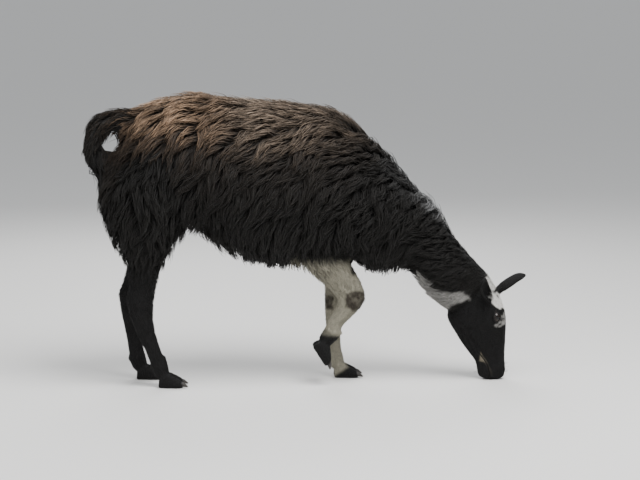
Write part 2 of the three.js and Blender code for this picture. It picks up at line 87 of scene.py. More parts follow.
EAR_ALONG = {"ear_left": (0.8, 0.16, 0.58), "ear_right": (-0.42, -0.6, 0.74)}
MIDDLES = {"ear_left": 0.062, "ear_right": -0.1, "hind_left": 0.12, "hind_right": -0.12,
           "fore_left": 0.095, "fore_right": -0.095}  # y of the line, where it isn't 0
REGIONS = list(LINES)

# Depth of the coat over the skin, as (share of the way along the line, depth).
EAR_DEPTHS = [(0.0, 0.0007), (1.0, 0.0007)]
HIND_DEPTHS = [(0.0, 0.05), (0.3, 0.046), (0.42, 0.03), (0.52, 0.009), (0.7, 0.004), (1.0, 0.002)]
DEPTHS = {
    "trunk": [(0.0, 0.046), (0.3, 0.054), (1.0, 0.052)],
    "neck": [(0.0, 0.006), (0.25, 0.012), (0.55, 0.021), (0.8, 0.034), (1.0, 0.046)],
    "head": [(0.0, 0.0015), (0.25, 0.0028), (0.8, 0.0035), (1.0, 0.007)],
    "tail": [(0.0, 0.022), (0.5, 0.016), (0.85, 0.014), (1.0, 0.008)],
    "ear_left": EAR_DEPTHS,
    "ear_right": EAR_DEPTHS,
    "hind_left": HIND_DEPTHS,
    "hind_right": HIND_DEPTHS,
    "fore_left": [(0.0, 0.044), (0.16, 0.02), (0.28, 0.006), (0.7, 0.004), (1.0, 0.002)],
    "fore_right": [(0.0, 0.044), (0.2, 0.02), (0.34, 0.006), (0.7, 0.004), (1.0, 0.002)],
}


def region_of(node):
    return node.replace("_leg", "").replace("_foot", "")


NAILS = [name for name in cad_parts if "nail" in name]
EYES = [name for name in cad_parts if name.startswith("eye")]
FLESH = [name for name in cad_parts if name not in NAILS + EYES]


# ---------- small helpers on arrays ----------
def norm(vectors):
    return np.linalg.norm(vectors, axis=-1)


def unit(vectors):
    return vectors / np.maximum(norm(vectors), 1e-9)[..., None]


def ramp(values, low, high):
    """0 below low, 1 above high and smooth between them; low may be the larger."""
    t = np.clip((values - low) / (high - low), 0, 1)
    return t * t * (3 - 2 * t)


def mix(a, b, share):
    return a + (b - a) * share


def bell(values, centre, width):
    """1 at the centre, falling off to both sides over the width."""
    return np.exp(-(((values - centre) / width) ** 2))


def on(regions, *names):
    """Whether each point lies in one of the named regions."""
    return np.isin(regions, [REGIONS.index(name) for name in names])


def cloud(points, size, seed):
    """Smooth noise from 0 to 1 with blotches about `size` across."""
    q = points / size
    cell = np.floor(q).astype(np.int64)
    f = q - cell
    f = f * f * (3 - 2 * f)
    total = np.zeros(len(points))
    for corner in np.ndindex(2, 2, 2):
        c = cell + corner
        # the usual primes of a spatial hash
        mixed = c[:, 0] * 73856093 ^ c[:, 1] * 19349663 ^ c[:, 2] * 83492791 ^ seed * 2654435761
        mixed = (mixed ^ (mixed >> 13)) * 1274126177 & 0xFFFFFF
        total += np.prod(np.where(corner, f, 1 - f), axis=1) * mixed / 0xFFFFFF
    return total


def stray(points, amount, size, seed):
    """An uneven shift of up to half the amount either way."""
    return amount * (cloud(points, size, seed) - 0.5)


def along(line, points):
    """How far along a side-view line each point is, its offset and the line's direction."""
    line = np.array(line)
    start, step = line[:-1], np.diff(line, axis=0)
    lengths = norm(step)
    at = points[:, None, [0, 2]] - start
    share = np.clip((at * step).sum(2) / lengths**2, 0, 1)
    off = at - share[..., None] * step
    best = (off**2).sum(2).argmin(1)
    rows = np.arange(len(points))
    before = np.concatenate([[0], np.cumsum(lengths)])
    t = (before[best] + share[rows, best] * lengths[best]) / before[-1]
    return t, off[rows, best], step[best] / lengths[best, None]


def by_region(regions, points, rule):
    """Gathers rule(name, points, *along(its line, points)) over the regions."""
    gathered = None
    for name in REGIONS:
        here = on(regions, name)
        if not here.any():
            continue
        result = rule(name, points[here], *along(LINES[name], points[here]))
        if gathered is None:
            gathered = np.zeros((len(points), *result.shape[1:]))
        gathered[here] = result
    return gathered


# ---------- meshes and arrays ----------
def new_object(name, mesh):
    made = bpy.data.objects.new(name, mesh)
    bpy.context.scene.collection.objects.link(made)
    return made


def mesh_of(name, points, triangles):
    mesh = bpy.data.meshes.new(name)
    mesh.vertices.add(len(points))
    mesh.vertices.foreach_set("co", np.ascontiguousarray(points, np.float32).ravel())
    mesh.loops.add(triangles.size)
    mesh.loops.foreach_set("vertex_index", np.ascontiguousarray(triangles, np.int32).ravel())
    mesh.polygons.add(len(triangles))
    mesh.polygons.foreach_set("loop_start", np.arange(0, triangles.size, 3, dtype=np.int32))
    mesh.update(calc_edges=True)
    mesh.shade_smooth()
    return mesh


def arrays_of(mesh):
    """The corners and the triangles of a mesh."""
    points = np.empty(len(mesh.vertices) * 3, np.float32)
    mesh.vertices.foreach_get("co", points)
    mesh.calc_loop_triangles()
    triangles = np.empty(len(mesh.loop_triangles) * 3, np.int32)
    mesh.loop_triangles.foreach_get("vertices", triangles)
    return points.reshape(-1, 3).astype(float), triangles.reshape(-1, 3)


def taken(bm):
    """The corners and triangles of a bmesh, which goes."""
    mesh = bpy.data.meshes.new("taken")
    bm.to_mesh(mesh)
    bm.free()
    made = arrays_of(mesh)
    bpy.data.meshes.remove(mesh)
    return made


def joined(parts):
    """Several pairs of corners and triangles as one."""
    starts = np.cumsum([0] + [len(points) for points, _ in parts])
    triangles = [faces + start for (_, faces), start in zip(parts, starts)]
    return np.concatenate([points for points, _ in parts]), np.concatenate(triangles)


def crosses(points, triangles):
    """The faces' normals, as long as twice their areas."""
    a, b, c = (points[triangles[:, i]] for i in range(3))
    return np.cross(b - a, c - a)


def normals_of(points, triangles):
    faces = crosses(points, triangles)
    total = np.zeros_like(points)
    for corner in range(3):
        for axis in range(3):
            total[:, axis] += np.bincount(triangles[:, corner], faces[:, axis], len(points))
    return unit(total)


def edges_of(triangles):
    """The edges as pairs of corners, and which of them follows each corner of a triangle."""
    pairs = np.sort(np.stack([triangles, np.roll(triangles, -1, axis=1)], axis=2), axis=2)
    keys = pairs[..., 0].astype(np.int64) << 32 | pairs[..., 1]
    keys, edge_of = np.unique(keys, return_inverse=True)
    return np.stack([keys >> 32, keys & 0xFFFFFFFF], axis=1), edge_of.reshape(-1, 3)


def spread(values, edges, steps):
    """Averages each value with its neighbours', once for each amount in steps."""
    count = len(values)
    flat = values.reshape(count, -1)
    near = np.bincount(edges.ravel(), minlength=count)[:, None]
    for amount in steps:
        total = np.empty_like(flat)
        for column, here in enumerate(flat.T):
            total[:, column] = np.bincount(edges[:, 0], here[edges[:, 1]], count)
            total[:, column] += np.bincount(edges[:, 1], here[edges[:, 0]], count)
        flat = flat + amount * (total / np.maximum(near, 1) - flat)
    return flat.reshape(values.shape)


def faired(points, edges, rounds, back=0.51):
    """Smooths a surface without shrinking it: each round goes in and then back out."""
    return spread(points, edges, [0.5, -back] * rounds)


def tree_of(points, triangles):
    return BVHTree.FromPolygons(points.tolist(), triangles.tolist())


def nearest(tree, points):
    """The place nearest to each point, its normal and face, and the signed distance."""
    found = [tree.find_nearest(p) for p in points.tolist()]
    place, normal, face = (np.array([f[i] for f in found]) for i in range(3))
    return place, normal, face, ((points - place) * normal).sum(1)


# ---------- the skin: one closed surface over all the flesh ----------
VOXEL = 0.0035  # the skin's grid before it is thinned
CLOSING = 0.0009  # each solid is grown this much, so that the skin closes over the cuts
KEPT_FACES = 0.12  # of the grid's, after thinning
EYE_RADIUS = 0.019
EYE = {side: np.array(sum(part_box(f"eye_{side}"), Vector()) / 2) for side in SIDES}  # centres
COARSE_EDGE, MIDDLE_EDGE = 0.022, 0.014  # the skin's longest edges, under wool and under hair
HEAD_EDGE, FINE_EDGE, FINEST_EDGE = 0.0066, 0.0034, 0.0016
WOOL_BEGINS = (0.01, 0.03)  # the depth of coat that begins to hide the solids' flats
SMOOTHING = 0.6
SINKING_STEPS = 6


def merged(node, growth=0.0):
    """The corners, merged and moved out, and the triangles of a solid."""
    bm = bmesh.new()
    bm.from_mesh(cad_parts[node].data)
    bmesh.ops.remove_doubles(bm, verts=bm.verts, dist=1e-5)
    bm.normal_update()
    for vert in bm.verts:
        vert.co += vert.normal * growth
    return taken(bm)


def applied(thing):
    """The corners and triangles of an object under its modifier; the object goes."""
    graph = bpy.context.evaluated_depsgraph_get()
    made = arrays_of(bpy.data.meshes.new_from_object(thing.evaluated_get(graph)))
    bpy.data.objects.remove(thing)
    return made


def united_flesh():
    """All the flesh and the eyes as one closed surface on a fine grid."""
    solids = joined([merged(node, CLOSING) for node in FLESH + EYES])
    source = new_object("flesh", mesh_of("flesh", *solids))
    remesh = source.modifiers.new("remesh", "REMESH")
    remesh.mode = "VOXEL"
    remesh.voxel_size = VOXEL
    return applied(source)


def regions_of(points):
    """The region of the solid nearest to each point, as an index into REGIONS."""
    parts = [arrays_of(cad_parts[node].data) for node in FLESH]
    owners = [[REGIONS.index(region_of(node))] * len(faces)
              for node, (_, faces) in zip(FLESH, parts)]
    face = nearest(tree_of(*joined(parts)), points)[2]
    return np.concatenate(owners)[face]


def thinned(points, triangles):
    """Merges most of the faces away, mainly where the wool will hide them."""
    thing = new_object("thinned", mesh_of("thinned", points, triangles))
    group = thing.vertex_groups.new(name="thin")
    woolly = is_woolly(points)
    for here, weight in ((~woolly, 0.5), (woolly, 1.0)):
        group.add(np.nonzero(here)[0].tolist(), weight, "REPLACE")
    decimate = thing.modifiers.new("decimate", "DECIMATE")
    decimate.ratio = KEPT_FACES
    decimate.vertex_group = "thin"
    return applied(thing)


def refined(points, triangles, longest, rounds):
    """Cuts each edge that is longer than longest(its middle) in half, for some rounds."""
    for _ in range(rounds):
        edges, edge_of = edges_of(triangles)
        first, second = points[edges[:, 0]], points[edges[:, 1]]
        middles = (first + second) / 2
        cut = norm(first - second) > longest(middles)
        number = np.full(len(edges), -1)
        number[cut] = len(points) + np.arange(cut.sum())
        points = np.concatenate([points, middles[cut]])
        triangles = split(triangles, number[edge_of])
    return points, triangles


def split(corners, middles):
    """Splits triangles at the middles of their edges; middles[:, i] follows corner i, or is -1."""
    cuts = (middles >= 0).sum(axis=1)
    made = [corners[cuts == 0]]
    for count in (1, 2, 3):
        here = cuts == count
        # turn each triangle so that its cut edges come first
        cut = middles[here] >= 0
        start = np.argmax(cut & ~np.roll(cut, 1, axis=1), axis=1)
        order = (start[:, None] + np.arange(3)) % 3
        c = np.take_along_axis(corners[here], order, axis=1).T
        m = np.take_along_axis(middles[here], order, axis=1).T
        pieces = {
            1: [(c[0], m[0], c[2]), (m[0], c[1], c[2])],
            2: [(m[0], c[1], m[1]), (c[0], m[0], m[1]), (c[0], m[1], c[2])],
            3: [(c[0], m[0], m[2]), (m[0], c[1], m[1]), (m[2], m[1], c[2]), (m[0], m[1], m[2])],
        }
        made += [np.stack(piece, axis=1) for piece in pieces[count]]
    return np.concatenate(made)


def coat_depth(regions, points):
    return by_region(regions, points, lambda name, at, t, *_: np.interp(t, *zip(*DEPTHS[name])))


def is_woolly(points):
    return (points[:, 2] > 0.52) & (points[:, 0] < 0.6)


def longest_edge(points):
    """How long the skin's edges may be: short where the face has its features."""
    x, _, z = points.T
    from_eye = np.min([norm(points - at) for at in EYE.values()], axis=0)
    lips = (x > 0.665) & (z < 0.125)
    slits = lips & ((np.abs(x - mouth_line(z)) < 0.005) | ((x > 0.76) & (z < 0.065)))
    longest = np.where(is_woolly(points), COARSE_EDGE, MIDDLE_EDGE)
    longest = np.where((x > 0.55) & (z < 0.33), HEAD_EDGE, longest)
    longest = np.where(lips | (from_eye < 0.034), FINE_EDGE, longest)
    return np.where(slits | (from_eye < 0.024), FINEST_EDGE, longest)


def mouth_line(z):
    """x of the line between the lips at height z, from the lips up to the corner."""
    return np.interp(z, [0.0, 0.03, 0.062, 0.085, 0.112], [0.7245, 0.7215, 0.7135, 0.7005, 0.6795])


def with_round_ears(regions, points):
    """Widens the ears towards their tips, which end blunt."""
    for name, way in EAR_ALONG.items():
        here = on(regions, name)
        at = points[here]
        t = along(LINES[name], at)[0]
        way = unit(np.array(way))
        middle = at.mean(0) + ((at - at.mean(0)) @ way)[:, None] * way
        wider = 0.02 + 0.3 * ramp(t, 0.62, 0.95)
        points[here] = at + (at - middle) * wider[:, None]
    return points


def below_tail(points):
    """1 on the rump behind the hanging tail, where the wool is short and lies close."""
    return ramp(points[:, 0], -0.64, -0.71) * ramp(points[:, 2], 0.8, 0.87)


def swelling(points, normals):
    """How far the wool stands off its solids: up from the back, behind the rump, off the crest."""
    x, _, z = points.T
    moved = np.zeros_like(points)
    moved[:, 2] = 0.014 * ramp(z, 0.9, 1.08)
    moved[:, 0] = -0.018 * ramp(x, -0.62, -0.78) * ramp(z, 0.45, 0.55)
    ahead = unit(np.array([0.8, 0.0, 0.6]))
    on_crest = ramp(x, 0.3, 0.38) * ramp(z, 0.58, 0.7) * ramp(normals @ ahead, 0.0, 0.6)
    return moved + ahead * ((0.013 + 0.01 * bell(x, 0.5, 0.05)) * on_crest)[:, None]


def skin_surface():
    """The skin's corners and triangles over the outside of the coat, then under it."""
    points, triangles = united_flesh()
    points = faired(points, edges_of(triangles)[0], 6)
    points, triangles = refined(*thinned(points, triangles), longest_edge, 4)
    edges, _ = edges_of(triangles)
    regions = regions_of(points)
    depth = spread(coat_depth(regions, points), edges, [0.5] * 30)
    # the wool hides the flats of the solids: these go, and short hair keeps its shape
    woolly = ramp(depth, *WOOL_BEGINS)[:, None]
    smooth = spread(points, edges, [SMOOTHING * woolly] * 24)
    lost = spread(points - smooth, edges, [SMOOTHING] * 24)
    stands_off = lost + swelling(points, normals_of(smooth, triangles))
    by_tail = np.maximum(below_tail(points), on(regions, "tail"))
    points = faired(smooth + stands_off * (1 - by_tail)[:, None], edges, 5)
    points = with_round_ears(regions, points)
    x, _, z = points.T
    points[:, 1] *= 1 - 0.17 * ramp(x, -0.6, -0.82) * ramp(z, 0.45, 0.6)  # a round rump
    outside = points.copy()
    for _ in range(SINKING_STEPS):
        points = points - normals_of(points, triangles) * depth[:, None] / SINKING_STEPS
        points = spread(points, edges, [0.4 * woolly] * 3)
    return outside, points, triangles, edges, regions


# ---------- the face ----------
LID = 0.0016  # thickness of an eyelid over the eyeball
LID_HALF_LENGTH = 0.0185  # of the opening between the lids, on the eyeball's surface
LID_HALF_HEIGHT = 0.0115
LID_REACH = (0.034, 0.024)  # from the eye's centre: the lids begin, and are fully there
FAR = 1.0  # stands for any distance behind the eye


def eye_frame(side):
    """Centre, direction along the lids, direction across them and the way the eye looks."""
    looks = unit(np.array([0.24, 0.95 * SIDES[side], -0.1]))
    length = np.array([0.1, 0.0, -1.0])
    length = unit(length - looks * (length @ looks))
    return EYE[side], length, np.cross(looks, length), looks


def lid_distance(side, points):
    """How far outside the opening between the lids a point lies, on the eyeball."""
    centre, length, across, looks = eye_frame(side)
    way = unit(points - centre)
    along_lids = (way @ length) * EYE_RADIUS / LID_HALF_LENGTH
    opening = LID_HALF_HEIGHT * (1 - np.minimum(along_lids**2, 4))
    return np.where(way @ looks > 0, np.abs((way @ across) * EYE_RADIUS) - opening, FAR)


def with_lids(points):
    """Draws the skin over the eyeballs as lids, and opens it between them."""
    for side, centre in EYE.items():
        from_eye = points - centre
        away = norm(from_eye)
        outside = lid_distance(side, points)
        fold = 0.0011 * bell(outside, 0.0055, 0.0016)
        lid = np.maximum(away, EYE_RADIUS + LID + 0.0009 * ramp(outside, 0.007, 0.0)) - fold
        opened = mix(lid, EYE_RADIUS - 0.005, ramp(outside, 0.0004, -0.0008))
        target = mix(away, opened, ramp(away, *LID_REACH))
        moved = centre + from_eye * (target / away)[:, None]
        points = np.where((outside < FAR)[:, None], moved, points)
    return points


def nostril_distance(points):
    """Distance to the slanted slits of the nostrils, as seen from in front."""
    low, high = np.array([0.0115, 0.02]), np.array([0.0255, 0.05])
    at = np.abs(points[:, 1:]) - low
    step = high - low
    share = np.clip(at @ step / (step @ step), 0, 1)
    off = at - share[:, None] * step
    off[:, 0] -= 0.003 * np.sin(share * math.pi)  # they're bowed outwards
    return norm(off)


def on_muzzle(points):
    return ramp(points[:, 0], 0.655, 0.665) * ramp(points[:, 2], 0.13, 0.115)


def on_nose(points, normals):
    """1 where the muzzle faces forwards."""
    return ramp(normals[:, 0], 0.0, 0.45) * ramp(points[:, 2], 0.075, 0.062)


def below_corner(z):
    """1 along the mouth, 0 above its corner."""
    return ramp(z, 0.117, 0.108)


def dents(points, normals):
    """How far the muzzle's skin is pressed in: mouth, nostrils and split lip."""
    x, y, z = points.T
    from_mouth = x - mouth_line(z)
    pressed = 0.0034 * bell(from_mouth, 0, 0.0019)
    pressed -= 0.0013 * bell(np.abs(from_mouth), 0.0065, 0.0035)
    pressed *= below_corner(z)
    nose = on_nose(points, normals)
    slit = nostril_distance(points)
    pressed += 0.0085 * ramp(slit, 0.0046, 0.001) * nose
    pressed -= 0.0016 * bell(slit, 0.0075, 0.003) * nose
    pressed += 0.0032 * bell(y, 0, 0.0018) * nose * ramp(z, 0.034, 0.02)
    pressed += 0.005 * ramp(z, 0.026, 0.0) * ramp(x, 0.716, 0.69)  # the round chin
    return pressed * on_muzzle(points)


# ---------- the lie of the coat ----------
def lie_of_coat(regions, points):
    """The direction from root to tip at each point, before it is laid along the skin."""

    def rule(name, here, _, off, tangent):
        x, y, z = here.T
        way = np.zeros((len(here), 3))
        way[:, [0, 2]] = tangent
        if name in EAR_ALONG:
            way[:] = EAR_ALONG[name]
        elif name == "trunk":
            fall = np.interp(z, [0.5, 0.7, 0.85, 1.0, 1.1], [3.2, 2.1, 1.35, 0.75, 0.35])
            fall += 1.4 * ramp(x, -0.62, -0.78) * ramp(z, 1.08, 0.85)
            way[:, 2] -= fall * mix(1.0, 0.5, ramp(x, -0.05, 0.22) * ramp(z, 0.62, 0.84))
            way[:, 1] += 0.22 * np.tanh(y / 0.03)
        elif name == "neck":
            way[:, 2] -= 0.95
            way[:, 1] += 0.3 * np.tanh(y / 0.02)
        elif name == "tail":
            way[:, 2] -= 0.3
        elif name.startswith("hind"):
            way -= ramp(z, 0.5, 0.75)[:, None] * [0.45, 0.0, 0.5]
        return way

    return by_region(regions, points, rule)


def strayed(way, normals, points):
    """Turns the lie of the wool a little this way and that, so that its clumps cross."""
    angle = (stray(points, 1.3, 0.065, 21) + stray(points, 0.9, 0.03, 22))[:, None]
    return way * np.cos(angle) + np.cross(normals, way) * np.sin(angle)


# ---------- the markings ----------
# Colours are linear reflectances, as the coat would look in plain white light, except for the painted
# sunlight, sheen and shade noted at their places.
BLACK_WOOL = np.array([0.0088, 0.0079, 0.0068])
DARK_BROWN = np.array([0.02, 0.0145, 0.0105])
BLEACHED_AND_SUNLIT = np.array([0.46, 0.3, 0.19])  # sun-bleached tips over the croup, brightened with painted sunlight
GREY_BROWN_AND_SUNLIT = np.array([0.3, 0.225, 0.165])  # weather-worn tips along the back, brightened with painted sunlight on the top
# pale grey tips on the crest, partly a painted sheen
CREST_GREY_AND_SHEEN = np.array([0.165, 0.165, 0.165])
BLACK_HAIR = np.array([0.005, 0.0046, 0.0045])
WHITE = np.array([0.72, 0.7, 0.66])
# the forelegs' cream, darkened with painted shade from under the belly
SHADED_CREAM = np.array([0.27, 0.252, 0.195])
BEIGE = np.array([0.3, 0.26, 0.19])


def inside(outline, x, z, soft):
    """1 inside a side-view outline and 0 outside it, over a soft edge."""
    corners = np.array(outline)
    ends = np.roll(corners, -1, axis=0)
    at = np.stack([x, z], axis=1)[:, None] - corners
    step = ends - corners
    share = np.clip((at * step).sum(2) / (step**2).sum(1), 0, 1)
    distance = norm(at - share[..., None] * step).min(1)
    above = (corners[:, 1] > z[:, None]) != (ends[:, 1] > z[:, None])
    height = np.where(step[:, 1] == 0, 1e-9, step[:, 1])
    crossing = corners[:, 0] + (z[:, None] - corners[:, 1]) * step[:, 0] / height
    within = (above & (x[:, None] < crossing)).sum(1) % 2 == 1
    return ramp(np.where(within, distance, -distance), -soft, soft)


THROAT_PATCH = [(0.425, 0.445), (0.46, 0.416), (0.485, 0.379), (0.523, 0.364), (0.606, 0.366),
                (0.641, 0.342), (0.641, 0.333), (0.596, 0.321), (0.562, 0.307), (0.53, 0.24),
                (0.43, 0.33)]
FOREHEAD_PATCH = [(0.708, 0.353), (0.735, 0.354), (0.82, 0.31), (0.8, 0.288), (0.744, 0.291)]
POLL_PATCH = [(0.715, 0.366), (0.735, 0.358), (0.78, 0.39), (0.72, 0.44), (0.7, 0.41)]
EYE_PATCH = [(0.742, 0.226), (0.756, 0.262), (0.79, 0.268), (0.79, 0.224), (0.765, 0.218)]
MOUTH_PATCH = [(0.686, 0.114), (0.68, 0.077), (0.698, 0.072), (0.717, 0.046), (0.73, 0.022),
               (0.736, 0.022), (0.725, 0.048), (0.708, 0.076)]
KNEE_PATCH = [(0.138, 0.36), (0.165, 0.375), (0.23, 0.372), (0.235, 0.305), (0.185, 0.292),
              (0.15, 0.312)]


def plain_colour(name, here, t, *_):
    """A region's colour without its patches: black wool or hair, or cream darkened with painted shade
    on the forelegs.
    """
    x, _, z = here.T
    if name.startswith("fore"):
        pale = ramp(z, 0.515, 0.475) * (1 - ramp(x, 0.155, 0.175) * ramp(z, 0.43, 0.455))
        dark_foot = (0.8, 0.86) if name == "fore_right" else (0.93, 0.96)
        return mix(mix(BLACK_WOOL, SHADED_CREAM, pale[:, None]), BLACK_HAIR, ramp(t, *dark_foot)[:, None])
    if name.startswith("hind"):
        return mix(BLACK_WOOL, BLACK_HAIR * 1.2, ramp(t, 0.45, 0.6)[:, None])
    brown = 0.75 * ramp(z, 0.62, 1.0) * ramp(x, 0.35, 0.0) * (name == "trunk")
    is_wool = name in ("trunk", "neck", "tail")
    return mix(BLACK_WOOL if is_wool else BLACK_HAIR, DARK_BROWN, brown[:, None])


def markings(regions, points):
    """The coat's colour at each point, how far its tips are sun-bleached and brightened with painted
    sunlight, and how far they are pale grey with painted sheen.
    """
    x, y, z = points.T
    wobble = stray(points, 0.012, 0.02, 5)
    stray_x = stray(points, 0.016, 0.016, 8) + stray(points, 0.006, 0.006, 9)
    stray_z = stray(points, 0.026, 0.02, 12) + stray(points, 0.006, 0.006, 13)
    mottled = ramp(cloud(points, 0.01, 7), 0.15, 0.65)
    colour = by_region(regions, points, plain_colour)
    near_head = on(regions, "neck", "head", "trunk") & (x > 0.39) & (z < 0.47)
    throat = inside(THROAT_PATCH, x + wobble, z + wobble, 0.006) * near_head
    # the white throat, darkened to less than half as painted shade under the neck
    colour = mix(colour, WHITE * 0.42, throat[:, None])
    face = on(regions, "head", "neck", "trunk") & (x > 0.6)
    by_eye = mottled * ramp(np.abs(y), 0.016, 0.034)
    by_mouth = mix(0.09, 1.0, ramp(z, 0.066, 0.082))
    for outline, tone, strength, loose in (
        (FOREHEAD_PATCH, WHITE, 1.0, 1.0),
        (POLL_PATCH, WHITE * 0.9, 0.9, 1.0),
        (EYE_PATCH, WHITE * 0.7, 0.7 * by_eye, 1.0),
        (MOUTH_PATCH, BEIGE, 0.62 * by_mouth, 0.25),
    ):
        share = inside(outline, x + stray_x * loose, z + stray_z * loose, 0.004) * strength * face
        colour = mix(colour, tone, share[:, None])
    knee_patch_and_shade = inside(KNEE_PATCH, x + wobble, z + wobble, 0.006) * on(regions, "fore_right")
    # painted shade in the crease behind the far foreleg's knee, joined to the dark knee patch of the
    # near one
    behind = ramp(x + wobble, 0.108, 0.098) * ramp(np.abs(z - 0.305), 0.036, 0.022)
    knee_patch_and_shade += behind * on(regions, "fore_left")
    colour = mix(colour, DARK_BROWN * 1.3, (0.85 * knee_patch_and_shade * mix(0.8, 1.1, mottled))[:, None])

    # sun-bleaching with painted sunlight on the wool, lighter towards the top: brown over the croup,
    # grey-brown along the back; grey with painted sheen on the crest
    croup = bell(x, -0.55, 0.17) * ramp(z, 0.93, 1.08)
    back = bell(x, -0.12, 0.21) * ramp(z, 0.88, 1.04) * 0.95
    bleach = np.clip(1.2 * croup + back + 0.18 * ramp(z, 0.84, 1.06), 0, 1)
    bleach *= mix(0.45, 1.3, cloud(points, 0.1, 1))
    bleach *= mix(on(regions, "trunk"), 0.2, on(regions, "tail"))
    fine = cloud(points, 0.035, 2)
    # pale grey with painted sheen on the crest
    grey = crest_share(regions, points) * mix(0.7, 1.1, fine)
    return colour, np.clip(bleach * mix(0.6, 1.3, fine), 0, 1), grey


def crest_share(regions, points):
    """1 on the crest of the neck, 0 from a hand's breadth below it."""
    x, _, z = points.T
    _, off, tangent = along(LINES["neck"], points)
    above = off[:, 0] * tangent[:, 1] - off[:, 1] * tangent[:, 0]
    share = ramp(above, 0.085, 0.12) * (0.16 + 0.84 * bell(x, 0.495, 0.055))
    return share * on(regions, "neck", "trunk") * ramp(x, 0.24, 0.34) * ramp(z, 0.95, 0.85)


def bareness(points, normals):
    """1 where the skin is bare: nostrils, lips, the rims of the lids and the soles."""
    x, y, z = points.T
    nose = on_nose(points, normals)
    nostrils = ramp(nostril_distance(points), 0.0062, 0.0045) * nose
    lips = ramp(np.abs(x - mouth_line(z)), 0.0036, 0.0022) * below_corner(z)
    split_lip = ramp(np.abs(y), 0.0022, 0.0012) * nose * ramp(z, 0.034, 0.024)
    soles = ramp(z, 0.006, 0.003) * ramp(normals[:, 2], -0.5, -0.8) * (x < 0.4)
    bare = np.maximum(np.max([nostrils, lips, split_lip], axis=0) * on_muzzle(points), soles)
    for side, centre in EYE.items():
        near = norm(points - centre) < 0.03
        bare = np.maximum(bare, ramp(lid_distance(side, points), 0.003, 0.0018) * near)
    return bare


# ---------- locks and tufts ----------
# By the depth of the coat: how long and wide its locks are, and how many there are to a metre².
COAT_DEPTHS = [0.0005, 0.0015, 0.003, 0.006, 0.012, 0.025, 0.05]
LENGTHS = [0.0045, 0.006, 0.009, 0.015, 0.032, 0.06, 0.105]
WIDTHS = [0.00074, 0.0009, 0.00115, 0.0016, 0.0022, 0.003, 0.004]
DENSITIES = [94000, 94000, 84000, 50000, 34500, 24400, 19000]
PART_SHARES = {  # of the length, the width and the number of locks, where they differ
    "head": (0.8, 0.75, 1.35),
    "tail": (1.6, 1.0, 2.6),
    "hind": (0.9, 0.95, 0.85),
    "fore": (0.8, 0.9, 0.75),
}
WOOL_DEPTH = 0.01  # a deeper coat grows in clumps of locks, a shallower one in single tufts
CLUMP = 15  # locks to a clump
LOCK_RINGS, TUFT_RINGS = 4, 2  # cross-sections along each, before the tip
PATCH = 0.003  # of a tuft on its UV map
MOST_TRIANGLES = 190_000  # in one piece of the coat
FLOOR_GAP = 0.0012  # no hair reaches lower
DOWN = np.array([0.0, 0.0, -1.0])
APART = 0.03  # from the skin, where a lock looks for its clump, so as not to cross gaps
GATHERING = 0.72  # how far the locks of a clump draw together
WAVE_PITCHES = (0.065, 0.095)
WAVE_SIZE = 0.04  # of a lock's length
STRAYING = 0.03  # of a lock's length, each way at the tip


def scattered(points, triangles, density):
    """Random places on a surface: the faces, and the weights of their corners."""
    areas = norm(crosses(points, triangles)) / 2
    count = rng.poisson(areas * density[triangles].mean(1))
    faces = np.repeat(np.arange(len(triangles)), count)
    first = np.sqrt(rng.random(len(faces)))
    second = rng.random(len(faces))
    return faces, np.stack([1 - first, first * (1 - second), first * second], axis=1)


def unwrapped(regions, points):
    """Where each point lies on its region's unwrap: along the middle line, and round it."""

    def rule(name, here, t, off, tangent):
        height = off[:, 1] * tangent[:, 0] - off[:, 0] * tangent[:, 1]
        turn = np.arctan2(here[:, 1] - MIDDLES.get(name, 0.0), height)
        return np.stack([t, turn / (2 * math.pi) + 0.5], axis=1)

    return by_region(regions, points, rule)


def grown_roots(skin):
    """Everything that's known at the root of each lock, by name, as arrays."""
    shares = [PART_SHARES.get(name.split("_")[0], (1.0, 1.0, 1.0)) for name in REGIONS]
    lengths, widths, numbers = np.array(shares).T
    density = np.interp(skin.depth, COAT_DEPTHS, DENSITIES) * (1 - skin.bare)
    density *= numbers[skin.regions]
    faces, weights = scattered(skin.points, skin.triangles, density)
    corners = skin.triangles[faces]
    points, normals, way, depth = (
        np.einsum("nc,nc...->n...", weights, values[corners])
        for values in (skin.points, skin.normals, skin.way, skin.depth)
    )
    regions = skin.regions[corners[:, 0]]
    size = rng.uniform(0.75, 1.2, len(faces)) * lengths[regions]
    breadth = rng.uniform(0.75, 1.25, len(faces)) * widths[regions]
    chance = rng.random(len(faces))
    return SimpleNamespace(
        points=points, normals=unit(normals), way=unit(way), depth=depth, regions=regions,
        uv=unwrapped(regions, points), chance=chance, clump=chance,
        length=np.interp(depth, COAT_DEPTHS, LENGTHS) * size,
        width=np.interp(depth, COAT_DEPTHS, WIDTHS) * breadth,
    )


def chosen(roots, here):
    return SimpleNamespace(**{key: values[here] for key, values in vars(roots).items()})


def tuft_spines(roots):
    """Short hair: each tuft lies along the skin and rises to the top of the coat."""
    n = len(roots.points)
    side = np.cross(roots.normals, roots.way)
    way = unit(roots.way + side * rng.normal(0, 0.16, (n, 1)))
    s = np.linspace(0, 1, TUFT_RINGS + 1)[None, :, None]
    rise = (roots.depth * rng.uniform(0.4, 0.95, n))[:, None, None]
    spines = roots.points[:, None] + way[:, None] * roots.length[:, None, None] * s
    spines += roots.normals[:, None] * (rise * s**0.8 - 0.0004)
    return spines


def hanging(roots):
    """1 where the wool grows from under the body and hangs free, 0 where it lies on it."""
    return ramp(-roots.normals[:, 2], 0.1, 0.7) * ramp(roots.depth, 0.012, 0.03)


